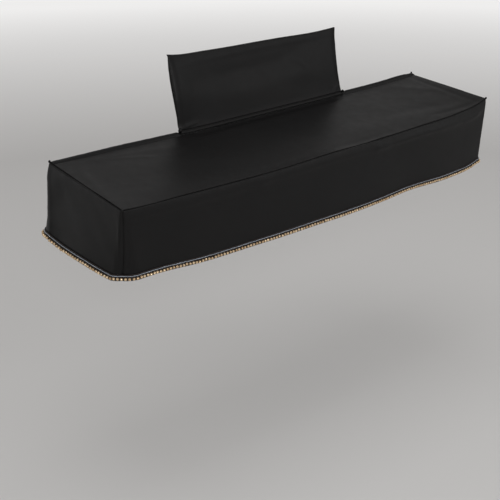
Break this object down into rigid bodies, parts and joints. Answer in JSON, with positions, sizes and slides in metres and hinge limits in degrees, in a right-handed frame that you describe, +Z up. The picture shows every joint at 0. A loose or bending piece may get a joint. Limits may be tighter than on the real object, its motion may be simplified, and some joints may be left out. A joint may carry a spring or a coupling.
{
  "type": "piano cover",
  "caption": "Fitted cover for a slim digital piano: smooth dark leatherette box with an upright pocket for the music rest and a beaded trim along its hem.",
  "frame": {"origin": "on the underside of the top panel at the middle of its length and depth, where the piano's top carries the cover", "axes": "+X along the length to the player's right, +Y from the player's side to the back, +Z up"},
  "size_m": [1.3769, 0.3545, 0.426],
  "materials": {
    "leatherette": "smooth semi-matte black imitation leather",
    "trim_tape": "dark brown woven tape",
    "trim_cord": "twisted silver lurex cord",
    "beads": "pearly champagne beads"
  },
  "bodies": {
    "root": {"top_panel": "leatherette", "left_skirt": "leatherette", "front_skirt": "leatherette", "right_skirt": "leatherette", "back_skirt": "leatherette", "pocket_front": "leatherette", "pocket_back": "leatherette", "pocket_left_gusset": "leatherette", "pocket_right_gusset": "leatherette", "trim_tape": "trim_tape", "trim_cord": "trim_cord", "bead_string": "beads"}
  },
  "joints": []
}
